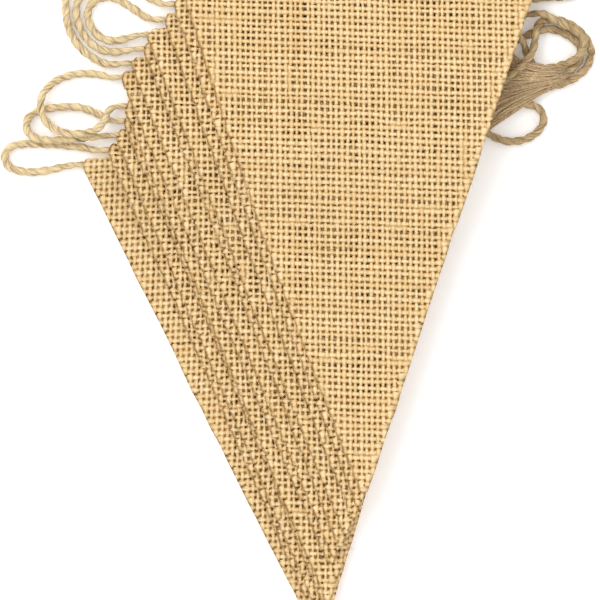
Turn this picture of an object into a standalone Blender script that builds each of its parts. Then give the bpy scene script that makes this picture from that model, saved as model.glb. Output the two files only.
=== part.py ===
"""A bunting: twelve triangular burlap pennants strung on one jute twine, lying folded together in a
fanned pile.

Every pennant is one cut of cloth whose top edge is turned under round the twine as a hem. The pennants
lie on each other with their hems side by side, each hem a little above the one before. The twine runs
through all the hems in turn, back and forth, and stands out in loops at both sides.

All the hems run in one direction, so a pennant is made from one section through the pile, square to
the hems, which is drawn out along them and narrowed to the pennant's outline. Sizes in the tables are
millimetres. +Z is up and the tips point to -Y.
"""

import math

import bpy
import numpy as np

MM = 0.001

# Cloth and twine. The twine is squeezed thin in the hems and swells where it is loose.
CLOTH = 1.0
TWINE_RADIUS = 1.1
LOOSE_RADIUS = 1.5
SWELL_LENGTH = 6.0
GAP = 0.3
LAYER = CLOTH + GAP
TUBE_RADIUS = TWINE_RADIUS + GAP + CLOTH / 2
TUBE_OUTER = TUBE_RADIUS + CLOTH / 2

# Pennants.
WIDTH = 138.0
TIP_WIDTH = 2.0
HEM_REACH = 6.6
HEM_TAPER = math.tan(math.radians(7.0))
HEM_ANGLE = math.radians(3.0)
TUBE_CLEARANCE = 0.1
CLOSE_HEMS = 8.0
RAMP = 36.0
RAMP_STEP = 0.15
BODY_ROWS = 8
ARC_STEP = math.radians(26.0)

# Twine tube.
FINE_STEP = 0.5
EASING = 14
TWINE_TOLERANCE = 0.45
LEFT_STRAIGHT = 2.5

# The middle of the pile's outline, which is moved onto the origin.
PILE_CENTRE = (-1.27, 2.0)

ALONG = np.array([math.cos(HEM_ANGLE), math.sin(HEM_ANGLE)])
DOWN = np.array([math.sin(HEM_ANGLE), -math.cos(HEM_ANGLE)])

# One row for each pennant, from the bottom of the pile: where the twine enters its hem at the left,
# where its tip lies, how far its left and right sides bow out, and how far the twine runs straight on
# past the hem's right end.
PENNANT_COLUMNS = ("hem_x", "hem_y", "tip_x", "tip_y", "left_bow", "right_bow", "right_straight")
PENNANTS = (
    (-89.2, 54.0, 2.5, -126.0, 0.4, 0.0, 4.5),
    (-79.5, 59.5, 3.0, -122.5, 0.0, 0.5, 4.0),
    (-76.5, 65.0, 3.5, -119.0, 0.5, 0.0, 4.0),
    (-73.5, 70.5, 5.0, -115.0, -0.4, 0.4, 2.5),
    (-73.0, 76.0, 5.0, -111.0, 0.6, 0.0, 2.5),
    (-74.5, 87.0, 6.0, -97.0, 0.3, 0.5, 5.5),
    (-70.5, 92.3, 7.5, -94.0, 0.8, 0.0, 6.0),
    (-66.0, 97.8, 9.5, -90.0, -0.3, 0.4, 3.0),
    (-64.5, 103.1, 11.5, -85.0, 0.6, 0.0, 8.0),
    (-58.0, 108.9, 14.5, -79.0, 1.0, 0.6, 5.0),
    (-54.5, 114.7, 16.5, -74.5, 1.2, 0.3, 5.0),
    (-51.0, 120.4, 18.5, -71.0, 2.4, 0.0, 3.0),
)

# The twine's loops between neighbouring hems, each a list of (x, y, z) from the lower hem to the upper
# one, and its two free ends. The loops on the left join hems 1-2, 3-4 and so on, those on the right 2-3,
# 4-5 and so on, counted from the bottom of the pile.
LEFT_LOOPS = (
    (
        (-94.4, 53.3, 1.9), (-98.6, 52.2, 1.7), (-105.0, 51.3, 1.65), (-112.0, 51.7, 1.65),
        (-116.0, 53.8, 1.65), (-117.2, 57.2, 1.65), (-115.6, 60.3, 1.65), (-111.0, 61.7, 1.65),
        (-102.0, 61.9, 1.65), (-89.0, 60.8, 1.7),
    ),
    (
        (-84.0, 64.4, 4.3), (-94.0, 63.4, 5.0), (-103.4, 63.3, 4.7), (-107.3, 65.3, 2.9),
        (-109.0, 68.4, 1.8), (-107.8, 72.0, 1.65), (-103.8, 74.4, 1.65), (-96.0, 75.8, 1.65),
        (-88.0, 75.6, 1.65), (-81.5, 73.2, 1.7),
    ),
    (
        (-77.8, 74.2, 4.4), (-79.4, 69.8, 6.6), (-83.6, 66.4, 7.4), (-90.6, 65.4, 7.8),
        (-98.4, 67.6, 6.6), (-102.8, 73.2, 5.4), (-102.8, 80.0, 3.4), (-98.6, 85.0, 1.7),
        (-91.5, 88.0, 1.65), (-83.0, 88.4, 1.7),
    ),
    (
        (-77.8, 91.9, 1.9), (-83.5, 94.3, 1.65), (-89.6, 99.7, 1.65), (-93.0, 106.4, 1.65),
        (-93.8, 113.6, 1.65), (-94.0, 120.6, 1.65), (-92.4, 126.8, 1.65), (-88.0, 129.8, 1.65),
        (-83.2, 128.4, 1.65), (-81.9, 124.4, 1.65), (-84.4, 120.6, 1.65), (-88.8, 117.2, 1.65),
        (-90.0, 111.8, 1.65), (-88.8, 106.3, 1.65), (-85.6, 101.1, 1.65), (-80.5, 97.4, 1.65),
        (-74.0, 96.6, 1.8),
    ),
    (
        (-72.5, 101.3, 1.8), (-78.2, 101.0, 1.65), (-82.8, 103.9, 1.65), (-85.5, 108.6, 1.65),
        (-85.2, 113.4, 1.65), (-81.4, 116.9, 1.65), (-76.2, 117.2, 1.65), (-69.8, 114.0, 1.65),
        (-64.5, 110.2, 2.0),
    ),
    (
        (-60.8, 116.2, 1.9), (-67.0, 120.6, 1.65), (-72.2, 128.0, 1.65), (-73.6, 135.6, 1.65),
        (-71.2, 140.6, 1.65), (-66.6, 141.6, 1.65), (-62.8, 138.2, 1.65), (-62.0, 130.0, 1.65),
        (-59.0, 122.4, 1.9),
    ),
)
RIGHT_LOOPS = (
    (
        (67.0, 65.0, 1.9), (72.0, 62.9, 1.65), (78.5, 63.2, 1.65), (84.2, 66.2, 1.65),
        (86.9, 71.2, 1.65), (84.6, 75.6, 1.65), (79.0, 77.0, 1.65), (73.2, 75.4, 1.7),
    ),
    (
        (72.6, 79.2, 1.7), (79.0, 81.7, 1.65), (85.4, 83.1, 1.65), (91.4, 83.9, 1.65),
        (97.8, 86.4, 1.65), (103.2, 91.2, 1.65), (104.6, 97.2, 1.65), (101.8, 103.0, 1.65),
        (97.3, 106.8, 1.65), (92.4, 108.7, 1.65), (88.0, 108.7, 1.75), (85.0, 107.4, 4.2),
        (83.4, 104.0, 5.3), (83.3, 100.4, 4.8), (82.4, 96.6, 5.3), (79.8, 92.8, 5.5),
        (76.2, 89.6, 5.1), (72.8, 86.6, 4.5),
    ),
    (
        (73.4, 92.0, 1.7), (77.8, 88.5, 1.65), (84.6, 86.8, 1.65), (91.2, 87.4, 1.65),
        (96.8, 89.8, 1.65), (100.4, 93.8, 1.65), (100.8, 98.0, 1.65), (98.0, 101.4, 1.65),
        (93.8, 104.0, 1.65), (88.4, 105.4, 1.65), (83.0, 104.0, 1.65), (78.4, 101.8, 1.7),
    ),
    (
        (76.7, 103.8, 4.6), (78.5, 101.0, 5.3), (79.7, 97.8, 3.2), (80.7, 94.6, 1.7),
        (83.2, 91.3, 1.65), (87.4, 90.4, 1.65), (92.0, 91.2, 2.1), (96.0, 92.6, 3.8),
        (99.8, 94.9, 5.1), (102.2, 98.6, 4.9), (100.9, 102.6, 4.9), (96.2, 105.8, 4.9),
        (91.4, 108.2, 5.1), (87.6, 110.6, 5.1), (84.6, 111.2, 3.9),
    ),
    (
        (89.0, 117.4, 1.8), (94.0, 117.4, 1.65), (99.0, 118.4, 1.65), (102.0, 121.0, 1.65),
        (102.2, 124.2, 1.65), (99.4, 126.8, 1.65), (95.0, 126.6, 1.65), (91.4, 123.8, 1.8),
    ),
)
LOWER_END = (
    (59.0, 60.0, 1.9), (60.1, 55.4, 1.65), (58.2, 49.6, 1.65), (54.2, 40.0, 1.65), (50.0, 29.0, 1.65),
)
UPPER_END = (
    (94.4, 130.4, 1.8), (99.2, 134.4, 1.65), (99.6, 139.4, 1.65), (95.4, 143.0, 1.65), (84.0, 145.8, 1.65),
    (64.0, 144.0, 1.65), (50.0, 145.6, 1.65), (38.0, 147.6, 1.65),
)

# Looks.
BURLAP_COLOUR = (0.62, 0.45, 0.24, 1.0)
TWINE_COLOUR = (0.55, 0.42, 0.26, 1.0)
FIBRE_ROUGHNESS = 0.9


def pennant_table():
    """The pennants as named values, with each hem's places along and down the pile."""
    rows = []
    for values in PENNANTS:
        row = dict(zip(PENNANT_COLUMNS, values))
        hem = np.array([row["hem_x"], row["hem_y"]])
        tip = np.array([row["tip_x"], row["tip_y"]])
        row["left"] = float(hem @ ALONG)
        row["right"] = row["left"] + WIDTH
        row["centre"] = float(hem @ DOWN)
        row["fold"] = row["centre"] - TUBE_OUTER
        row["tip_along"] = float(tip @ ALONG)
        row["tip_down"] = float(tip @ DOWN)
        rows.append(row)
    rows[0]["centre_z"] = TUBE_OUTER
    for row in rows[1:]:
        row["centre_z"] = TUBE_OUTER + TUBE_CLEARANCE
    return rows


def turning_radius(above):
    """The radius of a pennant's middle over the twine of the hem that many places below it. The hem
    between them adds two layers."""
    first = TUBE_OUTER + GAP + CLOTH / 2 + LAYER
    return first if above == 1 else first + 2 * LAYER + (above - 2) * LAYER


def heading(first, second):
    """The direction of the straight run that touches two circles, each (down, z, radius, turn), where
    turn is +1 for one passed anticlockwise and -1 for one passed clockwise."""
    step_down, step_z = second[0] - first[0], second[1] - first[1]
    reach = math.hypot(step_down, step_z)
    shift = (second[3] * second[2] - first[3] * first[2]) / reach
    return math.atan2(step_z, step_down) - math.asin(max(-1.0, min(1.0, shift)))


def belt(circles):
    """The path round these circles in turn, as points that stay just outside each. A circle of no
    radius is a corner."""
    headings = [heading(a, b) for a, b in zip(circles, circles[1:])]
    path = [(circles[0][0], circles[0][1])]
    for (down, z, radius, turn), before, after in zip(circles[1:], headings, headings[1:]):
        if radius == 0:
            path.append((down, z))
            continue
        bend = turn * ((turn * (after - before)) % (2 * math.pi))
        if abs(bend) > 1.9 * math.pi:
            bend = 0.0
        steps = max(1, math.ceil(abs(bend) / ARC_STEP))
        for step in range(steps):
            at = before + bend * (step + 0.5) / steps
            out = radius / math.cos(bend / steps / 2)
            path.append((down + turn * out * math.sin(at), z - turn * out * math.cos(at)))
    path.append((circles[-1][0], circles[-1][1]))
    return path


def over_lower_hems(rows, number):
    """The circles that a pennant's body passes over, stretched like a taut sheet over the hems below."""
    row = rows[number]
    here = (row["centre"], row["centre_z"], TUBE_RADIUS, -1)
    chosen = [here]
    waiting = [
        (rows[lower]["centre"], rows[lower]["centre_z"], turning_radius(number - lower), -1)
        for lower in range(number - 1, -1, -1)
    ]
    while waiting:
        steepest = max(range(len(waiting)), key=lambda n: heading(chosen[-1], waiting[n]))
        chosen.append(waiting[steepest])
        waiting = waiting[steepest + 1 :]
    return chosen


def body_corners(rows, number):
    """The corners of a pennant's body below the hems, down to its tip."""
    lowest = rows[0]["centre"]
    level = CLOTH / 2 + number * LAYER
    tip = rows[number]["tip_down"]
    if number == 0:
        start = lowest + HEM_REACH + 2.2
        corners = [
            (lowest + 4.4, level + LAYER),
            (lowest + HEM_REACH + 0.4, level + LAYER),
            (start, level),
        ]
    else:
        start = lowest + RAMP + RAMP_STEP * number
        corners = [(start, level)]
    for step in range(1, BODY_ROWS + 1):
        corners.append((start + (tip - start) * step / BODY_ROWS, level))
    return [(down, z, 0, -1) for down, z in corners]


def point_under(path, down):
    """The point one layer under a path, where the path is this far down the pile."""
    for (d0, z0), (d1, z1) in zip(path, path[1:]):
        if d0 <= down <= d1:
            run = np.array([d1 - d0, z1 - z0]) / math.hypot(d1 - d0, z1 - z0)
            on_path = z0 + (z1 - z0) * (down - d0) / (d1 - d0)
            under = LAYER - 0.02
            return down + run[1] * under, on_path - run[0] * under
    raise ValueError("the path doesn't reach there")


def section(rows, number):
    """The middle line of a pennant's cloth, from the end of its hem's flap, under and round the twine,
    and down to the tip, and how many of its points belong to the flap."""
    row = rows[number]
    upper = over_lower_hems(rows, number)
    flap_end = (row["centre"] + HEM_REACH, CLOTH / 2)
    if number:
        body = belt([(*flap_end, 0, 1)] + upper + body_corners(rows, number))
        fold = int(np.argmin([down for down, _ in body]))
        flap_end = point_under(body[fold:], flap_end[0])
    circles = [(*flap_end, 0, 1)]
    below = rows[number - 1]
    if number and below["centre"] - row["centre"] < CLOSE_HEMS:
        circles.append((below["centre"], below["centre_z"], TUBE_OUTER + GAP + CLOTH / 2, 1))
    path = belt(circles + upper + body_corners(rows, number))
    return path, int(np.argmin([down for down, _ in path]))


def offsets(path):
    """For each point of a path, the way to one side that keeps the cloth's thickness through bends."""
    points = np.array(path)
    runs = np.diff(points, axis=0)
    runs /= np.linalg.norm(runs, axis=1)[:, None]
    sides = np.stack([-runs[:, 1], runs[:, 0]], axis=1)
    before = np.vstack([sides[:1], sides])
    after = np.vstack([sides, sides[-1:]])
    middle = before + after
    return middle / (1 + (before * after).sum(axis=1))[:, None]


def side_places(row, down, in_flap):
    """How far along the hems a pennant's left and right sides lie at a place down the pile."""
    share = (down - row["fold"]) / (row["tip_down"] - row["fold"])
    middle = (row["left"] + row["right"]) / 2
    if in_flap:
        lean = (row["tip_along"] - middle) * share
        inward = (down - row["fold"]) * HEM_TAPER
        return row["left"] + lean + inward, row["right"] + lean - inward
    bow = math.sin(math.pi * share)
    left = row["left"] + (row["tip_along"] - TIP_WIDTH / 2 - row["left"]) * share
    right = row["right"] + (row["tip_along"] + TIP_WIDTH / 2 - row["right"]) * share
    return left - row["left_bow"] * bow, right + row["right_bow"] * bow


def place(along, down, z):
    """A point in metres from its places along the hems, down the pile and up."""
    x, y = along * ALONG + down * DOWN
    return (x - PILE_CENTRE[0]) * MM, (y - PILE_CENTRE[1]) * MM, z * MM


def material(name, colour):
    made = bpy.data.materials.new(name)
    made.use_nodes = True
    shader = made.node_tree.nodes["Principled BSDF"]
    shader.inputs["Base Color"].default_value = colour
    shader.inputs["Roughness"].default_value = FIBRE_ROUGHNESS
    shader.inputs["Metallic"].default_value = 0.0
    return made


def pennant(rows, number, name):
    """One pennant: its section drawn out along the hem and narrowed to its outline."""
    row = rows[number]
    path, flap_points = section(rows, number)
    points = np.array(path)
    shift = offsets(path) * CLOTH / 2
    sides = (points + shift, points - shift)
    vertices = []
    for index, (down, _) in enumerate(path):
        edges = side_places(row, down, index < flap_points)
        for face in sides:
            for along in edges:
                vertices.append(place(along, *face[index]))
    faces = [(0, 1, 3, 2)]
    for index in range(len(path) - 1):
        a, b = 4 * index, 4 * (index + 1)
        faces += [
            (a, b, b + 1, a + 1),
            (a + 2, a + 3, b + 3, b + 2),
            (a, a + 2, b + 2, b),
            (a + 1, b + 1, b + 3, a + 3),
        ]
    last = 4 * (len(path) - 1)
    faces.append((last, last + 2, last + 3, last + 1))
    mesh = bpy.data.meshes.new(name)
    mesh.from_pydata(vertices, [], faces)
    mesh.validate()
    mesh.materials.append(material("burlap_" + name, BURLAP_COLOUR))
    made = bpy.data.objects.new(name, mesh)
    bpy.context.scene.collection.objects.link(made)
    return made


def hem_run(row):
    """The twine's points through one hem, from left to right, with a straight stretch past each end."""
    alongs = (
        row["left"] - LEFT_STRAIGHT,
        row["left"],
        row["left"] + 3.0,
        row["right"] - 3.0,
        row["right"],
        row["right"] + row["right_straight"],
    )
    return [(*(along * ALONG + row["centre"] * DOWN), row["centre_z"]) for along in alongs]


def twine_route(rows):
    """The twine's own points from its lower end to its upper end, and which of them are the first and
    last of each straight stretch through a hem."""
    route = [np.array(point) for point in reversed(LOWER_END)]
    stretches = []
    left_loops = iter(LEFT_LOOPS)
    right_loops = iter(RIGHT_LOOPS)
    for number, row in enumerate(rows):
        run = hem_run(row)
        leftward = number % 2 == 0
        stretches.append((len(route), len(route) + len(run) - 1))
        route += [np.array(point) for point in (reversed(run) if leftward else run)]
        if number < len(rows) - 1:
            route += [np.array(point) for point in next(left_loops if leftward else right_loops)]
    route += [np.array(point) for point in UPPER_END]
    return np.array(route), stretches


def smooth_line(route):
    """A smooth curve through the points of a route, and which of its points stand for the route's."""
    points = np.vstack([2 * route[0] - route[1], route, 2 * route[-1] - route[-2]])
    line, stations = [], []
    for a, b, c, d in zip(points, points[1:], points[2:], points[3:]):
        gaps = [math.sqrt(np.linalg.norm(q - p)) for p, q in ((a, b), (b, c), (c, d))]
        t1, t2, t3 = np.cumsum(gaps)
        count = max(1, round(np.linalg.norm(c - b) / FINE_STEP))
        stations.append(len(line))
        for t in t1 + (t2 - t1) * np.arange(count) / count:
            ab = a + (b - a) * t / t1
            bc = b + (c - b) * (t - t1) / (t2 - t1)
            cd = c + (d - c) * (t - t2) / (t3 - t2)
            abc = ab + (bc - ab) * t / t2
            bcd = bc + (cd - bc) * (t - t1) / (t3 - t1)
            line.append(abc + (bcd - abc) * (t - t1) / (t2 - t1))
    stations.append(len(line))
    line = np.array(line + [route[-1]])
    for _ in range(EASING):
        line[1:-1] = (line[:-2] + 2 * line[1:-1] + line[2:]) / 4
    return line, stations


def corners_needed(line, first, last):
    """Which points of a line, from the first to just before the last, keep it true when the rest are
    left out. Each straight piece reaches as far as it can."""
    kept = [first]
    reach = first + 2
    while reach <= last:
        chord = line[reach] - line[kept[-1]]
        between = line[kept[-1] + 1 : reach] - line[kept[-1]]
        away = np.linalg.norm(np.cross(between, chord), axis=1) / np.linalg.norm(chord)
        if away.max() > TWINE_TOLERANCE:
            kept.append(reach - 1)
        reach += 1
    return kept


def twine(rows, name):
    """The whole twine as one tube."""
    route, stretches = twine_route(rows)
    line, stations = smooth_line(route)
    fixed, places, radii = [0], [], []
    swell = SWELL_LENGTH / FINE_STEP
    for first, last in stretches:
        fixed += [stations[first + 1], stations[last - 1]]
        places += [stations[first] - swell, stations[first], stations[last], stations[last] + swell]
        radii += [LOOSE_RADIUS, TWINE_RADIUS, TWINE_RADIUS, LOOSE_RADIUS]
    fixed.append(len(line) - 1)
    kept = []
    for first, last in zip(fixed, fixed[1:]):
        kept += corners_needed(line, first, last)
    kept.append(len(line) - 1)
    points = line[kept]
    swelling = np.interp(kept, places, radii) / TWINE_RADIUS
    curve = bpy.data.curves.new(name, "CURVE")
    curve.dimensions = "3D"
    curve.bevel_depth = TWINE_RADIUS * MM
    curve.bevel_resolution = 2
    curve.use_fill_caps = True
    spline = curve.splines.new("POLY")
    spline.points.add(len(points) - 1)
    for point, (x, y, z), radius in zip(spline.points, points, swelling):
        point.co = ((x - PILE_CENTRE[0]) * MM, (y - PILE_CENTRE[1]) * MM, z * MM, 1.0)
        point.radius = radius
    curve.materials.append(material("jute_twine", TWINE_COLOUR))
    made = bpy.data.objects.new(name, curve)
    bpy.context.scene.collection.objects.link(made)
    return made


def main():
    for old in list(bpy.data.objects):
        bpy.data.objects.remove(old, do_unlink=True)
    rows = pennant_table()
    for number in range(len(rows)):
        pennant(rows, number, f"pennant_{number + 1:02d}")
    twine(rows, "twine")


main()
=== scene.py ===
"""Looks for the bunting: twelve woven burlap pennants and their jute twine on a white table."""

import math

import bpy
import numpy as np
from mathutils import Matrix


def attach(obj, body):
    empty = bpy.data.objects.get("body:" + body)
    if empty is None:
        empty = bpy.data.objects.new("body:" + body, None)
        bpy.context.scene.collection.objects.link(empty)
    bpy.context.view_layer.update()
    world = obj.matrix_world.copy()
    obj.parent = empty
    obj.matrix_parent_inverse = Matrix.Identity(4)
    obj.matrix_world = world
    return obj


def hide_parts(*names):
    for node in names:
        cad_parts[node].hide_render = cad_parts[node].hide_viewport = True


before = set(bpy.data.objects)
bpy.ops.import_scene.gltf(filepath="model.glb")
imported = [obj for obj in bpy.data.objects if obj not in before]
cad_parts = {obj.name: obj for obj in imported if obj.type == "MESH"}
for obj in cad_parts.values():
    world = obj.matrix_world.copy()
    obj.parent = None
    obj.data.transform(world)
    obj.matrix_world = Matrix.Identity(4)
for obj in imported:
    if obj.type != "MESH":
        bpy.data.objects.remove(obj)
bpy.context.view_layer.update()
MM = 0.001

# Cloth and twine, in millimetres, as the solids have them.
CLOTH = 1.0
TWINE_RADIUS = 1.1
LOOSE_RADIUS = 1.5
SWELL_LENGTH = 6.0
GAP = 0.3
LAYER = CLOTH + GAP
TUBE_RADIUS = TWINE_RADIUS + GAP + CLOTH / 2
TUBE_OUTER = TUBE_RADIUS + CLOTH / 2
WIDTH = 138.0
TIP_WIDTH = 2.0
HEM_REACH = 6.6
HEM_TAPER = math.tan(math.radians(7.0))
HEM_ANGLE = math.radians(3.0)
TUBE_CLEARANCE = 0.1
CLOSE_HEMS = 8.0
RAMP = 36.0
RAMP_STEP = 0.15
ARC_STEP = math.radians(9.0)
PILE_CENTRE = (-1.27, 2.0)
LEFT_STRAIGHT = 2.5
FINE_STEP = 0.5
EASING = 14

ALONG = np.array([math.cos(HEM_ANGLE), math.sin(HEM_ANGLE)])
DOWN = np.array([math.sin(HEM_ANGLE), -math.cos(HEM_ANGLE)])

# One row for each pennant, from the bottom of the pile. The last two columns are how far its crosswise
# threads slope up to the right and its lengthwise threads lean to the right at their foot, in degrees.
PENNANT_COLUMNS = (
    "hem_x", "hem_y", "tip_x", "tip_y", "left_bow", "right_bow", "right_straight", "weft_tilt", "warp_lean",
)
PENNANTS = (
    (-89.2, 54.0, 2.5, -126.0, 0.4, 0.0, 4.5, 3.4, -2.5),
    (-79.5, 59.5, 3.0, -122.5, 0.0, 0.5, 4.0, 1.0, 1.5),
    (-76.5, 65.0, 3.5, -119.0, 0.5, 0.0, 4.0, 4.2, -3.4),
    (-73.5, 70.5, 5.0, -115.0, -0.4, 0.4, 2.5, 2.2, 0.4),
    (-73.0, 76.0, 5.0, -111.0, 0.6, 0.0, 2.5, -0.6, 1.8),
    (-74.5, 87.0, 6.0, -97.0, 0.3, 0.5, 5.5, 3.6, -2.0),
    (-70.5, 92.3, 7.5, -94.0, 0.8, 0.0, 6.0, 0.8, -1.0),
    (-66.0, 97.8, 9.5, -90.0, -0.3, 0.4, 3.0, 2.8, -3.0),
    (-64.5, 103.1, 11.5, -85.0, 0.6, 0.0, 8.0, -1.4, 0.6),
    (-58.0, 108.9, 14.5, -79.0, 1.0, 0.6, 5.0, 1.8, -1.2),
    (-54.5, 114.7, 16.5, -74.5, 1.2, 0.3, 5.0, 3.0, -2.2),
    (-51.0, 120.4, 18.5, -71.0, 2.4, 0.0, 3.0, -2.3, 0.5),
)

# The twine's loops between neighbouring hems, from the lower hem to the upper one, and its free ends.
# A point without a height lies on the table.
ON_TABLE = 1.65
LEFT_LOOPS = (
    (
        (-94.4, 53.3, 1.9), (-98.6, 52.2, 1.7), (-105.0, 51.3), (-112.0, 51.7),
        (-116.0, 53.8), (-117.2, 57.2), (-115.6, 60.3), (-111.0, 61.7),
        (-102.0, 61.9), (-89.0, 60.8, 1.7),
    ),
    (
        (-84.0, 64.4, 4.3), (-94.0, 63.4, 5.0), (-103.4, 63.3, 4.7), (-107.3, 65.3, 2.9),
        (-109.0, 68.4, 1.8), (-107.8, 72.0), (-103.8, 74.4), (-96.0, 75.8),
        (-88.0, 75.6), (-81.5, 73.2, 1.7),
    ),
    (
        (-77.8, 74.2, 4.4), (-79.4, 69.8, 6.6), (-83.6, 66.4, 7.4), (-90.6, 65.4, 7.8),
        (-98.4, 67.6, 6.6), (-102.8, 73.2, 5.4), (-102.8, 80.0, 3.4), (-98.6, 85.0, 1.7),
        (-91.5, 88.0), (-83.0, 88.4, 1.7),
    ),
    (
        (-77.8, 91.9, 1.9), (-83.5, 94.3), (-89.6, 99.7), (-93.0, 106.4),
        (-93.8, 113.6), (-94.0, 120.6), (-92.4, 126.8), (-88.0, 129.8),
        (-83.2, 128.4), (-81.9, 124.4), (-84.4, 120.6), (-88.8, 117.2),
        (-90.0, 111.8), (-88.8, 106.3), (-85.6, 101.1), (-80.5, 97.4),
        (-74.0, 96.6, 1.8),
    ),
    (
        (-72.5, 101.3, 1.8), (-78.2, 101.0), (-82.8, 103.9), (-85.5, 108.6),
        (-85.2, 113.4), (-81.4, 116.9), (-76.2, 117.2), (-69.8, 114.0),
        (-64.5, 110.2, 2.0),
    ),
    (
        (-60.8, 116.2, 1.9), (-67.0, 120.6), (-72.2, 128.0), (-73.6, 135.6),
        (-71.2, 140.6), (-66.6, 141.6), (-62.8, 138.2), (-62.0, 130.0),
        (-59.0, 122.4, 1.9),
    ),
)
RIGHT_LOOPS = (
    (
        (67.0, 65.0, 1.9), (72.0, 62.9), (78.5, 63.2), (84.2, 66.2),
        (86.9, 71.2), (84.6, 75.6), (79.0, 77.0), (73.2, 75.4, 1.7),
    ),
    (
        (72.6, 79.2, 1.7), (79.0, 81.7), (85.4, 83.1), (91.4, 83.9),
        (97.8, 86.4), (103.2, 91.2), (104.6, 97.2), (101.8, 103.0),
        (97.3, 106.8), (92.4, 108.7), (88.0, 108.7, 1.75), (85.0, 107.4, 4.2),
        (83.4, 104.0, 5.3), (83.3, 100.4, 4.8), (82.4, 96.6, 5.3), (79.8, 92.8, 5.5),
        (76.2, 89.6, 5.1), (72.8, 86.6, 4.5),
    ),
    (
        (73.4, 92.0, 1.7), (77.8, 88.5), (84.6, 86.8), (91.2, 87.4),
        (96.8, 89.8), (100.4, 93.8), (100.8, 98.0), (98.0, 101.4),
        (93.8, 104.0), (88.4, 105.4), (83.0, 104.0), (78.4, 101.8, 1.7),
    ),
    (
        (76.7, 103.8, 4.6), (78.5, 101.0, 5.3), (79.7, 97.8, 3.2), (80.7, 94.6, 1.7),
        (83.2, 91.3), (87.4, 90.4), (92.0, 91.2, 2.1), (96.0, 92.6, 3.8),
        (99.8, 94.9, 5.1), (102.2, 98.6, 4.9), (100.9, 102.6, 4.9), (96.2, 105.8, 4.9),
        (91.4, 108.2, 5.1), (87.6, 110.6, 5.1), (84.6, 111.2, 3.9),
    ),
    (
        (89.0, 117.4, 1.8), (94.0, 117.4), (99.0, 118.4), (102.0, 121.0),
        (102.2, 124.2), (99.4, 126.8), (95.0, 126.6), (91.4, 123.8, 1.8),
    ),
)
LOWER_END = (
    (59.0, 60.0, 1.9), (60.1, 55.4), (58.2, 49.6), (54.2, 40.0), (50.0, 29.0),
)
UPPER_END = (
    (94.4, 130.4, 1.8), (99.2, 134.4), (99.6, 139.4), (95.4, 143.0), (84.0, 145.8),
    (64.0, 144.0), (50.0, 145.6), (38.0, 147.6),
)

# Where the twine has frayed at the right: the start, middle and end of a loose strand at even places
# across the frayed bundle, from its lower side to its upper side.
FRAYED = (
    ((64.0, 65.5, 2.4), (74.5, 74.6, 2.8), (88.0, 83.0, 2.6)),
    ((66.5, 71.5, 3.0), (77.5, 78.8, 3.4), (91.0, 84.6, 3.2)),
    ((69.0, 79.5, 3.2), (79.5, 82.8, 4.0), (94.0, 86.4, 3.4)),
    ((71.5, 88.5, 3.4), (81.0, 87.4, 4.6), (95.0, 89.0, 3.4)),
    ((74.0, 96.5, 3.4), (83.0, 90.8, 4.6), (94.0, 90.4, 3.4)),
)
FRAYED_STRANDS = 230

# Camera and view, in millimetres.
VIEW_WIDTH = 226.8
VIEW_CENTRE = (-4.1, 0.9)
CAMERA_HEIGHT = 3000.0
SENSOR = 36.0

# How far a hem's left end is worn back at its fold, and over what length of cloth, in millimetres.
CORNER = 2.8
CORNER_LENGTH = 2.8

# The unevenness of the pile's top: the height of each wave in millimetres, its two lengths across and up
# divided by two pi, and its start. Cloth this high in the pile takes all of it.
WAVES = ((0.45, 17.0, 41.0, 0.6), (0.35, -29.0, 13.0, 2.1), (0.2, 7.5, 9.5, 0.0))
FULL_WAVE_HEIGHT = 18.0

# Weave: the spacing of the lengthwise (warp) and crosswise (weft) threads, in millimetres. The threads'
# widths and drifts that follow are shares of it.
WARP_PITCH = 2.12
WEFT_PITCH = 2.41
WARP_HALF = 0.36
WEFT_HALF = 0.372
LEAST_HALF, MOST_HALF = 0.2, 0.465
MOST_DRIFT = 0.18
DRIFTED_HALF, DRIFT_GIVE = 0.475, 0.45
# The bottom pennant's holes are nearly closed, so that the table doesn't shine through them.
BOTTOM_LEAST_HALF = 0.455
BOTTOM_MOST_DRIFT = 0.04
# How much the threads differ from each other, and how much each changes slowly along its length.
WARP_DRIFT, WEFT_DRIFT, SLOW_DRIFT = 0.04, 0.035, 0.075
WARP_THICKNESS, WEFT_THICKNESS, SLOW_THICKNESS = 0.09, 0.07, 0.16
THICKNESS_STEP = 3

# Heights of a crossing's points from the cloth's middle, in millimetres: its top, the sides of the thread
# that is over, and the sides of the thread that is under.
CROWN = 0.5
LEAST_CROWN = 0.4
CROWN_CHANGE = 0.08
SHOULDER = 0.36
DIP = 0.14

# Sides of the cloth. Threads swell by a share within the edge band, and close up within the side band, in
# millimetres. The last crosswise stubs at the left are thinned and cut back by shares of their own size.
SIDE_MARGIN = 0.25
EDGE_CLOSE = 0.28
EDGE_BAND = 4.5
EDGE_SLOPE = 1.5
SIDE_BAND = 2.6
SIDE_SLOPE = 1.6
SIDE_HALF = 0.49
STUB_HALF = 0.6
STUB_CUT = 0.62
RAGGED = 0.16
SPARE_THREADS = 3

# Twine strands. The plies' radius and distance from the middle are shares of the twine's radius, and so
# are the lumps: two for a whole ply and one for each of its sides, with their size and their length in
# steps along the twine.
PLY_RADIUS = 0.83
PLY_OFFSET = 0.25
PLY_SIDES = 8
PLY_LUMPS = ((0.04, 9), (0.025, 4))
SIDE_LUMPS = (0.035, 5)
LUMP_LIMITS = (-0.13, 0.1)
TWIST_LENGTH = 9.0
TWIST_CHANGE = (0.10, 30)
TWINE_STEP = 0.75

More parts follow.
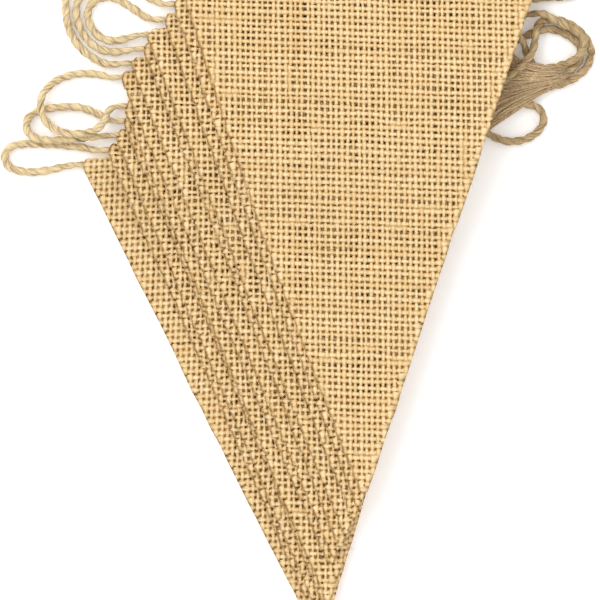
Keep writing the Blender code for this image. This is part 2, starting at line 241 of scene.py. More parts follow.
# Stray fibres, in millimetres.
FIBRE_RADIUS = 0.07
FIBRE_STEPS = 6
FIBRE_BEND = 0.6
TWINE_FIBRES = 620
LOOSE_SHARE = 0.93
TWINE_FIBRE_LENGTHS = (1.0, 3.4)
LONG_SHARE, LONGER = 0.12, 1.6
CLOTH_FIBRES = 260
CLOTH_FIBRE_LENGTHS = (0.8, 2.6)
SHARE_ON_TOP = 0.6
ROOT_IN, ROOT_UP = 0.4, 0.3

# Loose strands of the fray, in millimetres: how far a start, middle and end wander from their guides.
FRAYED_STEPS = 9
START_SPREAD = 0.5
MIDDLE_SPREAD, MIDDLE_SHAPE = 0.7, (1.0, 1.0, 0.6)
END_SPREAD, END_SHAPE = 0.6, (3.0, 1.0, 0.4)
FRAYED_RADII = (0.11, 0.3)
FRAYED_LEAST_RADIUS = 0.05
FRAYED_LEAST_HEIGHT = 0.4

# Where each set of random draws starts.
CLOTH_SEED = 410
TWINE_SEED = 77
TWINE_FIBRE_SEED = 91
CLOTH_FIBRE_SEED = 92
FRAYED_SEED = 93


# ---------------------------------------------------------------- the pile's shape


def pennant_table():
    """The pennants as named values, with each hem's places along and down the pile."""
    rows = []
    for number, values in enumerate(PENNANTS):
        row = dict(zip(PENNANT_COLUMNS, values))
        hem = np.array([row["hem_x"], row["hem_y"]])
        tip = np.array([row["tip_x"], row["tip_y"]])
        row["left"] = float(hem @ ALONG)
        row["right"] = row["left"] + WIDTH
        row["centre"] = float(hem @ DOWN)
        row["fold"] = row["centre"] - TUBE_OUTER
        row["tip_along"] = float(tip @ ALONG)
        row["tip_down"] = float(tip @ DOWN)
        row["centre_z"] = TUBE_OUTER + (TUBE_CLEARANCE if number else 0.0)
        rows.append(row)
    return rows


def turning_radius(above):
    """The radius of a pennant's middle over the twine of the hem that many places below it."""
    first = TUBE_OUTER + GAP + CLOTH / 2 + LAYER
    return first if above == 1 else first + 2 * LAYER + (above - 2) * LAYER


def heading(first, second):
    """The direction of the straight run that touches two circles, each (down, z, radius, turn)."""
    step_down, step_z = second[0] - first[0], second[1] - first[1]
    reach = math.hypot(step_down, step_z)
    shift = (second[3] * second[2] - first[3] * first[2]) / reach
    return math.atan2(step_z, step_down) - math.asin(max(-1.0, min(1.0, shift)))


def belt(circles):
    """The path round these circles in turn. A circle of no radius is a corner."""
    headings = [heading(a, b) for a, b in zip(circles, circles[1:])]
    path = [(circles[0][0], circles[0][1])]
    for (down, z, radius, turn), before, after in zip(circles[1:], headings, headings[1:]):
        if radius == 0:
            path.append((down, z))
            continue
        bend = turn * ((turn * (after - before)) % (2 * math.pi))
        if abs(bend) > 1.9 * math.pi:
            bend = 0.0
        steps = max(1, math.ceil(abs(bend) / ARC_STEP))
        for step in range(steps):
            at = before + bend * (step + 0.5) / steps
            path.append((down + turn * radius * math.sin(at), z - turn * radius * math.cos(at)))
    path.append((circles[-1][0], circles[-1][1]))
    return path


def over_lower_hems(rows, number):
    """The circles that a pennant's body passes over, stretched like a taut sheet over the hems below."""
    row = rows[number]
    chosen = [(row["centre"], row["centre_z"], TUBE_RADIUS, -1)]
    waiting = [
        (rows[lower]["centre"], rows[lower]["centre_z"], turning_radius(number - lower), -1)
        for lower in range(number - 1, -1, -1)
    ]
    while waiting:
        steepest = max(range(len(waiting)), key=lambda n: heading(chosen[-1], waiting[n]))
        chosen.append(waiting[steepest])
        waiting = waiting[steepest + 1 :]
    return chosen


def body_corners(rows, number):
    """The corners of a pennant's body below the hems, down to its tip."""
    lowest = rows[0]["centre"]
    level = CLOTH / 2 + number * LAYER
    if number == 0:
        corners = [
            (lowest + 4.4, level + LAYER),
            (lowest + HEM_REACH + 0.4, level + LAYER),
            (lowest + HEM_REACH + 2.2, level),
        ]
    else:
        corners = [(lowest + RAMP + RAMP_STEP * number, level)]
    corners.append((rows[number]["tip_down"], level))
    return [(down, z, 0, -1) for down, z in corners]


def point_under(path, down):
    """The point one layer under a path, where the path is this far down the pile."""
    for (d0, z0), (d1, z1) in zip(path, path[1:]):
        if d0 <= down <= d1:
            run = np.array([d1 - d0, z1 - z0]) / math.hypot(d1 - d0, z1 - z0)
            on_path = z0 + (z1 - z0) * (down - d0) / (d1 - d0)
            under = LAYER - 0.02
            return down + run[1] * under, on_path - run[0] * under
    raise ValueError("the path doesn't reach there")


def section(rows, number):
    """The middle line of a pennant's cloth, from its hem's flap round the twine to the tip."""
    row = rows[number]
    upper = over_lower_hems(rows, number)
    flap_end = (row["centre"] + HEM_REACH, CLOTH / 2)
    if number:
        body = belt([(*flap_end, 0, 1)] + upper + body_corners(rows, number))
        fold = int(np.argmin([down for down, _ in body]))
        flap_end = point_under(body[fold:], flap_end[0])
    circles = [(*flap_end, 0, 1)]
    below = rows[number - 1]
    if number and below["centre"] - row["centre"] < CLOSE_HEMS:
        circles.append((below["centre"], below["centre_z"], TUBE_OUTER + GAP + CLOTH / 2, 1))
    return np.array(belt(circles + upper + body_corners(rows, number)))


class Profile:
    """A pennant's section by the length of cloth. The length is counted so that on the flat part below
    the hems it equals the place down the pile."""

    def __init__(self, rows, number):
        path = section(rows, number)
        steps = np.linalg.norm(np.diff(path, axis=0), axis=1)
        raw = np.concatenate([[0.0], np.cumsum(steps)])
        self.length = raw + rows[number]["tip_down"] - raw[-1]
        self.path = path
        self.start, self.end = self.length[0], self.length[-1]
        fold = int(np.argmin(path[:, 0]))
        self.fold = self.length[fold]
        runs = np.diff(path, axis=0) / steps[:, None]
        self.middles = (self.length[1:] + self.length[:-1]) / 2
        self.angles = np.unwrap(np.arctan2(runs[:, 1], runs[:, 0]))

    def at(self, length):
        """Down, z and the direction of the cloth's outer face at each length."""
        down = np.interp(length, self.length, self.path[:, 0])
        z = np.interp(length, self.length, self.path[:, 1])
        angle = np.interp(length, self.middles, self.angles)
        return down, z, -np.sin(angle), np.cos(angle)


def side_places(row, profile, length):
    """How far along the hems a pennant's left and right sides lie at each length of its cloth."""
    down = np.interp(length, profile.length, profile.path[:, 0])
    share = (down - row["fold"]) / (row["tip_down"] - row["fold"])
    middle = (row["left"] + row["right"]) / 2
    lean = (row["tip_along"] - middle) * share
    inward = (down - row["fold"]) * HEM_TAPER
    bow = np.sin(math.pi * np.clip(share, 0, 1))
    left = row["left"] + (row["tip_along"] - TIP_WIDTH / 2 - row["left"]) * share
    right = row["right"] + (row["tip_along"] + TIP_WIDTH / 2 - row["right"]) * share
    in_flap = length < profile.fold
    left = np.where(in_flap, left + 0.2, left - row["left_bow"] * bow)
    left = left + CORNER * np.exp(-(((length - profile.fold) / CORNER_LENGTH) ** 2))
    right = np.where(in_flap, row["right"] + lean - inward, right + row["right_bow"] * bow)
    return left, right


def uneven(x, y):
    """How far the pile's top rises or sinks from level at each place, in millimetres."""
    return sum(height * np.sin(x / across + y / up + start) for height, across, up, start in WAVES)


def place(along, down, z):
    """Points in metres from their places along the hems, down the pile and up. The higher the cloth
    lies, the more uneven it is."""
    x = along * ALONG[0] + down * DOWN[0]
    y = along * ALONG[1] + down * DOWN[1]
    z = z + uneven(x, y) * np.clip(z / FULL_WAVE_HEIGHT, 0, 1)
    return np.stack([x - PILE_CENTRE[0], y - PILE_CENTRE[1], z], axis=-1) * MM


# ---------------------------------------------------------------- woven pennants


def add_object(name, data):
    """A new object in the scene's collection."""
    made = bpy.data.objects.new(name, data)
    bpy.context.scene.collection.objects.link(made)
    return made


def in_frame(points):
    """Points of the tables, in millimetres, as points of the frame, in metres."""
    return (points - np.array([*PILE_CENTRE, 0.0])) * MM


def wander(random, threads, along, size, step=6):
    """Slow random changes along each of many threads, as an array (along, threads)."""
    knots = random.normal(0, size, (along // step + 3, threads))
    at = np.arange(along) / step
    low = at.astype(int)
    part = (at - low)[:, None]
    part = part * part * (3 - 2 * part)
    return knots[low] * (1 - part) + knots[low + 1] * part


def changes(random, threads, along, middle, apart, slow, step=6):
    """A value for each thread that differs from thread to thread, and slowly along each one."""
    own = middle + apart * random.normal(0, 1, threads)[None, :]
    return own + wander(random, threads, along, slow, step)


def add_map(mesh, name, places):
    """Keeps two values for each vertex of a mesh as a map for its material."""
    layer = mesh.uv_layers.new(name=name)
    corner_vertices = np.empty(len(mesh.loops), dtype=np.int32)
    mesh.loops.foreach_get("vertex_index", corner_vertices)
    layer.data.foreach_set("uv", places[corner_vertices].astype(np.float32).ravel())


class Weave:
    """The threads of a pennant. i counts the lengthwise threads from the left and j the crosswise ones
    from the hem, and each array has a row for each j and a column for each i."""

    def __init__(self, rows, number):
        self.row = rows[number]
        self.bottom = number == 0
        self.profile = Profile(rows, number)
        random = np.random.default_rng(CLOTH_SEED + number)
        self.lay_threads(random.uniform(0, 1, 2))
        self.find_crossings()
        self.size_threads(random)

    def lay_threads(self, shift):
        """The threads' even places, over the whole pennant and a little more."""
        row, profile = self.row, self.profile
        tilt, lean = math.radians(row["weft_tilt"]), math.radians(row["warp_lean"])
        across = np.array([math.cos(tilt), math.sin(tilt)]) * WARP_PITCH
        downward = np.array([math.sin(lean), -math.cos(lean)]) * WEFT_PITCH
        self.to_pile = np.array([[across @ ALONG, downward @ ALONG], [across @ DOWN, downward @ DOWN]])
        corners = [(row["left"], profile.start), (row["right"], profile.start)]
        corners += [(row["left"], profile.fold), (row["right"], profile.fold)]
        corners.append((row["tip_along"], profile.end))
        spans = (np.linalg.inv(self.to_pile) @ np.array(corners).T).T
        first = np.floor(spans.min(axis=0)).astype(int) - SPARE_THREADS
        count = np.ceil(spans.max(axis=0)).astype(int) + SPARE_THREADS - first
        self.columns, self.lines = int(count[0]), int(count[1])
        self.i = first[0] + shift[0] + np.arange(self.columns)[None, :]
        self.j = first[1] + shift[1] + np.arange(self.lines)[:, None]

    def cloth_place(self, i, j):
        """How far along the hems and down the length of the cloth these thread numbers lie."""
        along = self.to_pile[0, 0] * i + self.to_pile[0, 1] * j
        length = self.to_pile[1, 0] * i + self.to_pile[1, 1] * j
        return along, length

    def find_crossings(self):
        """Which crossings are on the cloth, which are the last at each side, and how near a side is."""
        along, length = self.cloth_place(self.i + 0 * self.j, self.j + 0 * self.i)
        left, right = side_places(self.row, self.profile, length)
        start, end = self.profile.start + SIDE_MARGIN, self.profile.end - SIDE_MARGIN
        in_left, in_right = along > left + SIDE_MARGIN, along < right - SIDE_MARGIN
        self.present = (length > start) & (length < end) & in_left & in_right
        self.at_left = self.present & ~np.roll(in_left, 1, axis=1)
        self.at_right = self.present & ~np.roll(in_right, -1, axis=1)
        self.to_right = right - along
        self.to_side = np.minimum(along - left, right - along)

    def size_threads(self, random):
        """How far each thread drifts from its even place, and half its width, at every crossing."""
        columns, lines = self.columns, self.lines
        drift_i = changes(random, columns, lines, 0, WARP_DRIFT, SLOW_DRIFT)
        drift_j = changes(random, lines, columns, 0, WEFT_DRIFT, SLOW_DRIFT).T
        thick_i = changes(random, columns, lines, 1, WARP_THICKNESS, SLOW_THICKNESS, THICKNESS_STEP)
        thick_j = changes(random, lines, columns, 1, WEFT_THICKNESS, SLOW_THICKNESS, THICKNESS_STEP).T
        self.thick_i = thick_i
        self.ragged = wander(random, 1, lines, RAGGED, THICKNESS_STEP)
        self.stub_cut = STUB_CUT * random.uniform(0, 1, (lines, 1)) * (not self.bottom)
        self.stub_half = 1.0 if self.bottom else STUB_HALF

        in_band = np.clip(EDGE_SLOPE * (EDGE_BAND - self.to_side) / EDGE_BAND, 0, 1)
        closing = 1 + EDGE_CLOSE * (np.ones_like(in_band) if self.bottom else in_band)
        closed_to = self.to_side if self.bottom else self.to_right
        at_side = np.clip((SIDE_BAND - closed_to) / SIDE_BAND * SIDE_SLOPE, 0, 1)
        least = BOTTOM_LEAST_HALF if self.bottom else LEAST_HALF
        most_drift = BOTTOM_MOST_DRIFT if self.bottom else MOST_DRIFT
        drift_i = np.clip(drift_i, -most_drift, most_drift)
        drift_j = np.clip(drift_j, -most_drift, most_drift)
        half_i = np.clip(WARP_HALF * thick_i * closing, least, MOST_HALF)
        half_j = np.clip(WEFT_HALF * thick_j * closing, least, MOST_HALF)
        half_i = np.minimum(half_i, DRIFTED_HALF - np.abs(drift_i) * DRIFT_GIVE)
        half_j = np.minimum(half_j, DRIFTED_HALF - np.abs(drift_j) * DRIFT_GIVE)
        self.half_i = half_i + (SIDE_HALF - 0.01 - half_i) * at_side
        self.half_j = half_j + (SIDE_HALF - half_j) * at_side
        self.drift_i, self.drift_j = drift_i * (1 - at_side), drift_j * (1 - at_side)

    def points(self, side_i, side_j, height):
        """The same point of every crossing: side_i and side_j are -1, 0 or 1 across its patch. With its
        thread numbers, and how far the cloth's left and right sides are."""
        reach_j = self.half_j
        if side_i == -1:
            reach_j = np.where(self.at_left, reach_j * self.stub_half, reach_j)
        i = self.i + self.drift_i + side_i * self.half_i
        j = self.j + self.drift_j + side_j * reach_j
        along, length = self.cloth_place(i, j)
        length = np.clip(length, self.profile.start, self.profile.end)
        left, right = side_places(self.row, self.profile, length)
        left, right = left + self.ragged, right + self.ragged
        along = np.minimum(np.maximum(along, left), right)
        if side_i == -1:
            along = np.where(self.at_left, left + (along - left) * self.stub_cut, along)
        if side_i == 1:
            along = np.where(self.at_right, right, along)
        down, z, face_down, face_z = self.profile.at(length)
        points = place(along, down + face_down * height, z + face_z * height)
        return points, np.stack([i, j], axis=-1), np.stack([along - left, right - along], axis=-1)

    def patch(self):
        """The points of a crossing's patch, each with its side_i, side_j and height."""
        lengthwise_over = (np.arange(self.columns)[None, :] + np.arange(self.lines)[:, None]) % 2 == 0
        crown = CROWN * (1 - CROWN_CHANGE + CROWN_CHANGE * self.thick_i)
        crown = np.clip(crown, LEAST_CROWN, CROWN)
        warp_side = np.where(lengthwise_over, SHOULDER, DIP)
        weft_side = np.where(lengthwise_over, DIP, SHOULDER)
        return {
            "nw": (-1, -1, 0.0), "ne": (1, -1, 0.0), "sw": (-1, 1, 0.0), "se": (1, 1, 0.0),
            "centre": (0, 0, crown),
            "n": (0, -1, warp_side),
            "s": (0, 1, warp_side),
            "w": (-1, 0, weft_side),
            "e": (1, 0, weft_side),
            "under": (0, 0, -crown),
        }


def woven_mesh(rows, number, name):
    """A pennant as woven cloth: every crossing of two threads is a raised patch, joined to its four
    neighbours by stretches of thread, with open holes between. Both faces meet at the holes' edges."""
    weave = Weave(rows, number)
    present = weave.present
    points, threads, margins, index = [], [], [], {}
    total = 0
    where = np.full(present.shape, -1)
    where[present] = np.arange(present.sum())
    for kind, (side_i, side_j, height) in weave.patch().items():
        made, thread, edge = weave.points(side_i, side_j, height)
        points.append(made[present])
        threads.append(thread[present])
        margins.append(edge[present])
        index[kind] = np.where(present, where + total, -1)
        total += int(present.sum())
    two_sided = number in (0, len(rows) - 1)
    faces = woven_faces(weave, index, two_sided)
    mesh = bpy.data.meshes.new(name)
    mesh.from_pydata(np.concatenate(points).tolist(), [], faces)
    mesh.validate()
    add_map(mesh, "threads", np.concatenate(threads) - np.array([weave.i[0, 0], weave.j[0, 0]]))
    add_map(mesh, "sides", np.concatenate(margins))
    mesh.shade_smooth()
    for polygon in mesh.polygons:
        polygon.use_smooth = len(polygon.vertices) < 5
    return add_object(name, mesh)


def woven_faces(weave, index, two_sided):
    """The faces of the patches, of the threads between them, and of the sealed slivers at the sides. A
    two-sided pennant has its patches raised underneath too, and the others are flat there."""
    faces = []
    ids = {kind: values.tolist() for kind, values in index.items()}
    here = weave.present.tolist()
    left_end, right_end = weave.at_left.tolist(), weave.at_right.tolist()
    nw, ne, sw, se = ids["nw"], ids["ne"], ids["sw"], ids["se"]
    n, s, w, e = ids["n"], ids["s"], ids["w"], ids["e"]
    for j in range(weave.lines):
        for i in range(weave.columns):
            if not here[j][i]:
                continue
            a, b, c, d = nw[j][i], ne[j][i], se[j][i], sw[j][i]
            mid_n, mid_e, mid_s, mid_w = n[j][i], e[j][i], s[j][i], w[j][i]
            top = ids["centre"][j][i]
            faces += [(top, mid_n, a, mid_w), (top, mid_w, d, mid_s)]
            faces += [(top, mid_s, c, mid_e), (top, mid_e, b, mid_n)]
            east, south = here[j][i + 1], here[j + 1][i]
            west, north = here[j][i - 1], here[j - 1][i]
            sealed = left_end[j][i] and weave.bottom
            filled_s = sealed and here[j + 1][i + 1] or right_end[j][i] and here[j + 1][i - 1]
            filled_n = sealed and here[j - 1][i + 1] or right_end[j][i] and here[j - 1][i - 1]
            filled_s, filled_n = filled_s and not south, filled_n and not north
            sides = ((mid_n, north or filled_n), (mid_e, east), (mid_s, south or filled_s), (mid_w, west))
            joined = {middle for middle, is_joined in sides if is_joined}
            rim = [v for v in (a, mid_n, b, mid_e, c, mid_s, d, mid_w) if v not in joined]
            if two_sided:
                bottom = ids["under"][j][i]
                for p, q in zip(rim, rim[1:] + rim[:1]):
                    faces.append((bottom, p, q))
            else:
                faces.append(tuple(rim))
            if east:
                f, g, h = nw[j][i + 1], sw[j][i + 1], w[j][i + 1]
                faces += [(b, mid_e, h, f), (mid_e, c, g, h)]
                faces.append((b, f, g, c))
            if south:
                f, g, h = nw[j + 1][i], ne[j + 1][i], n[j + 1][i]
                faces += [(d, f, h, mid_s), (mid_s, h, g, c)]
                faces.append((c, g, f, d))
            elif filled_s:
                f, g = se[j][i - 1], ne[j + 1][i - 1]
                if left_end[j][i]:
                    f, g = nw[j + 1][i + 1], sw[j][i + 1]
                faces += [(d, f, g, c, mid_s), (c, g, f, d)]
            if filled_n:
                f, g = se[j - 1][i - 1], ne[j][i - 1]
                if left_end[j][i]:
                    f, g = nw[j][i + 1], sw[j - 1][i + 1]
                faces += [(mid_n, b, f, g, a), (a, g, f, b)]
    return faces


# ---------------------------------------------------------------- twine


def hem_run(row):
    """The twine's points through one hem, from left to right, with a straight stretch past each end."""
    left, right = row["left"], row["right"]
    alongs = (left - LEFT_STRAIGHT, left, left + 3.0, right - 3.0, right, right + row["right_straight"])
    return [(*(along * ALONG + row["centre"] * DOWN), row["centre_z"]) for along in alongs]


def twine_route(rows):
    """The twine's own points from its lower end to its upper end, and which of them are the first and
    last of each straight stretch through a hem."""
    route, stretches = list(reversed(LOWER_END)), []
    left_loops, right_loops = iter(LEFT_LOOPS), iter(RIGHT_LOOPS)
    for number, row in enumerate(rows):
        run = hem_run(row)
        leftward = number % 2 == 0
        stretches.append((len(route), len(route) + len(run) - 1))
        route += reversed(run) if leftward else run
        if number < len(rows) - 1:
            route += next(left_loops if leftward else right_loops)
    route += UPPER_END
    route = [point if len(point) == 3 else (*point, ON_TABLE) for point in route]
    return np.array(route, dtype=float), stretches


def smooth_line(route):
    """A smooth curve through the points of a route, and which of its points stand for the route's."""
    points = np.vstack([2 * route[0] - route[1], route, 2 * route[-1] - route[-2]])
    line, stations = [], []
    for a, b, c, d in zip(points, points[1:], points[2:], points[3:]):
        gaps = [math.sqrt(np.linalg.norm(q - p)) for p, q in ((a, b), (b, c), (c, d))]
        t1, t2, t3 = np.cumsum(gaps)
        count = max(1, round(np.linalg.norm(c - b) / FINE_STEP))
        stations.append(len(line))
        for t in t1 + (t2 - t1) * np.arange(count) / count:
            ab = a + (b - a) * t / t1
            bc = b + (c - b) * (t - t1) / (t2 - t1)
            cd = c + (d - c) * (t - t2) / (t3 - t2)
            abc = ab + (bc - ab) * t / t2
            bcd = bc + (cd - bc) * (t - t1) / (t3 - t1)
            line.append(abc + (bcd - abc) * (t - t1) / (t2 - t1))
    stations.append(len(line))
    line = np.array(line + [route[-1]])
    for _ in range(EASING):
        line[1:-1] = (line[:-2] + 2 * line[1:-1] + line[2:]) / 4
    return line, stations


def twine_line(rows):
    """The twine's middle line, and its radius at each point: thin in the hems and swollen where loose."""
    route, stretches = twine_route(rows)
    line, stations = smooth_line(route)
    places, radii = [], []
    swell = SWELL_LENGTH / FINE_STEP
    for first, last in stretches:
        places += [stations[first] - swell, stations[first], stations[last], stations[last] + swell]
        radii += [LOOSE_RADIUS, TWINE_RADIUS, TWINE_RADIUS, LOOSE_RADIUS]
    return line, np.interp(np.arange(len(line)), places, radii)


def even_steps(line, radii, step):
    """A line's points at equal steps, its radius there, and how far along it each lies."""
    lengths = np.concatenate([[0.0], np.cumsum(np.linalg.norm(np.diff(line, axis=0), axis=1))])
    wanted = np.linspace(0, lengths[-1], max(2, round(lengths[-1] / step)) + 1)
    points = np.stack([np.interp(wanted, lengths, line[:, k]) for k in range(3)], axis=1)
    return points, np.interp(wanted, lengths, radii), wanted


def carried_frames(points):
    """Two directions square to a line at each of its points, carried along it without twisting."""
    runs = np.gradient(points, axis=0)
    runs /= np.linalg.norm(runs, axis=1)[:, None]
    side = np.cross(runs[0], (0.0, 0.0, 1.0))
    sides = []
    for run in runs:
        side = side - run * (side @ run)
        side /= np.linalg.norm(side)
        sides.append(side)
    sides = np.array(sides)
    return sides, np.cross(runs, sides)


def tube(centres, sides, ups, radii, count):
    """The vertices and faces of a closed tube with this many sides. The radii are one for each centre,
    or one for each vertex."""
    turn = np.arange(count) * 2 * math.pi / count
    ring = np.cos(turn)[None, :, None] * sides[:, None, :] + np.sin(turn)[None, :, None] * ups[:, None, :]
    vertices = (centres[:, None, :] + ring * radii.reshape(len(centres), -1, 1)).reshape(-1, 3)
    faces = []
    for step in range(len(centres) - 1):
        for k in range(count):
            a, b = step * count + k, step * count + (k + 1) % count
            faces.append((a, b, b + count, a + count))
    last = (len(centres) - 1) * count
    faces.append(tuple(range(count - 1, -1, -1)))
    faces.append(tuple(last + k for k in range(count)))
    return vertices, faces


def add_mesh(name, parts, lengths=None):
    """One object from several (vertices, faces), in millimetres. lengths gives a value for each vertex
    along its strand, kept as a map for the material."""
    vertices, faces, start = [], [], 0
    for points, polygons in parts:
        vertices.append(points)
        faces += [tuple(v + start for v in polygon) for polygon in polygons]
        start += len(points)
    mesh = bpy.data.meshes.new(name)
    mesh.from_pydata(in_frame(np.concatenate(vertices)).tolist(), [], faces)
    if lengths is not None:
        add_map(mesh, "strand", lengths)
    mesh.shade_smooth()
    return add_object(name, mesh)


def twine_mesh(rows, name):
    """The twine: two plies wound round each other, each a little uneven."""
    fine, fine_radii = twine_line(rows)
    line, thick, lengths = even_steps(fine, fine_radii, TWINE_STEP)
    sides, ups = carried_frames(line)
    random = np.random.default_rng(TWINE_SEED)
    slow = sum(wander(random, 2, len(line), *lump) for lump in PLY_LUMPS)
    twist = 2 * math.pi * (lengths / TWIST_LENGTH + wander(random, 1, len(line), *TWIST_CHANGE)[:, 0])
    runs = np.gradient(line, axis=0) / TWINE_STEP
    parts, maps = [], []
    for ply in range(2):
        turn = twist + math.pi * ply
        out = np.cos(turn)[:, None] * sides + np.sin(turn)[:, None] * ups
        over = np.cross(runs, out)
        lumps = np.clip(slow[:, ply, None] + wander(random, PLY_SIDES, len(line), *SIDE_LUMPS), *LUMP_LIMITS)
        radii = PLY_RADIUS * thick[:, None] * (1 + lumps)
        centres = line + PLY_OFFSET * thick[:, None] * out
        parts.append(tube(centres, out, over, radii, PLY_SIDES))
        round_place = np.tile(np.arange(PLY_SIDES) / PLY_SIDES, len(line))
        maps.append(np.stack([round_place + ply * 7.3, np.repeat(lengths, PLY_SIDES)], axis=1))
    made = add_mesh(name, parts, np.concatenate(maps))
    return made, line, thick, float(lengths[-1])


def bent_fibre(start, direction, length, random):
    """One stray fibre: a bent three-sided strand that thins to its end and stays above the table."""
    steps = np.linspace(0, 1, FIBRE_STEPS)
    direction = direction / np.linalg.norm(direction)
    curl = np.cross(direction, random.normal(0, 1, 3))
    curl /= np.linalg.norm(curl)
    bend = random.uniform(-FIBRE_BEND, FIBRE_BEND)
    points = start + length * (steps[:, None] * direction + bend * (steps**2)[:, None] * curl)
    points[:, 2] = np.maximum(points[:, 2], FIBRE_RADIUS)
    sides, ups = carried_frames(points)
    return tube(points, sides, ups, FIBRE_RADIUS * (1 - 0.5 * steps), 3)


def twine_fibres(line, thick, name):
    """Stray fibres standing off the twine where it is loose."""
    random = np.random.default_rng(TWINE_FIBRE_SEED)
    loose = np.flatnonzero(thick > LOOSE_SHARE * LOOSE_RADIUS)
    loose = loose[(loose > 2) & (loose < len(line) - 3)]
    parts = []
    for at in random.choice(loose, TWINE_FIBRES):
        run = line[at + 1] - line[at - 1]
        run /= np.linalg.norm(run)
        out = np.cross(run, random.normal(0, 1, 3))
        out /= np.linalg.norm(out)
        out[2] = abs(out[2]) * 0.6
        direction = out * random.uniform(0.25, 1.0) + run * random.choice((-1, 1)) * random.uniform(0.4, 1.2)
        length = random.uniform(*TWINE_FIBRE_LENGTHS)
        length *= LONGER if random.uniform() < LONG_SHARE else 1.0
        parts.append(bent_fibre(line[at] + out * thick[at] * 0.8, direction, length, random))
    return add_mesh(name, parts)


def frayed_strands(name):
    """Loose strands that fan out from the right-hand bundle of twine to the pennants' sides."""
    random = np.random.default_rng(FRAYED_SEED)
    guides = np.array(FRAYED)
    steps = np.linspace(0, 1, FRAYED_STEPS)[:, None]
    parts = []
    for _ in range(FRAYED_STRANDS):
        across = random.uniform(0, len(guides) - 1.001)
        low = int(across)
        share = across - low
        start, middle, end = guides[low] * (1 - share) + guides[low + 1] * share
        start = start + random.normal(0, START_SPREAD, 3)
        middle = middle + random.normal(0, MIDDLE_SPREAD, 3) * MIDDLE_SHAPE
        end = end + random.normal(0, END_SPREAD, 3) * END_SHAPE
        pull = 2 * middle - (start + end) / 2
        points = (1 - steps) ** 2 * start + 2 * steps * (1 - steps) * pull + steps**2 * end
        points[:, 2] = np.maximum(points[:, 2], FRAYED_LEAST_HEIGHT)
        sides, ups = carried_frames(points)
        thick = random.uniform(*FRAYED_RADII)
        radii = thick * (1 - 0.6 * np.abs(2 * steps[:, 0] - 0.8) ** 2)
        parts.append(tube(points, sides, ups, np.maximum(radii, FRAYED_LEAST_RADIUS), 4))
    return add_mesh(name, parts)


def cloth_fibres(rows, name):
    """Stray fibres along the pennants' sides, and a few lying on the top one."""
    random = np.random.default_rng(CLOTH_FIBRE_SEED)
    profiles = [Profile(rows, number) for number in range(len(rows))]
    parts = []
    for _ in range(CLOTH_FIBRES):
        number = int(random.integers(0, len(rows)))
        row, profile = rows[number], profiles[number]
        length = random.uniform(profile.fold, profile.end - 2.0)
        left, right = side_places(row, profile, length)
        outward = random.choice((-1, 1))
        along = float(left if outward < 0 else right) + outward * -ROOT_IN
        direction = outward * ALONG * random.uniform(0.3, 1.0) + DOWN * random.uniform(-0.8, 0.8)
        lift = random.uniform(0.0, 0.3)
        if number == len(rows) - 1 and random.uniform() < SHARE_ON_TOP:
            along = random.uniform(float(left) + 1, float(right) - 1)
            lift = random.uniform(0.1, 0.5)
        down, z, face_down, face_z = (float(value) for value in profile.at(length))
        start = place(along, down + face_down * ROOT_UP, z + face_z * ROOT_UP) / MM
        start += np.array([*PILE_CENTRE, 0.0])
        size = random.uniform(*CLOTH_FIBRE_LENGTHS)
        parts.append(bent_fibre(start, np.array([*direction, lift]), size, random))
    return add_mesh(name, parts)


# ---------------------------------------------------------------- materials


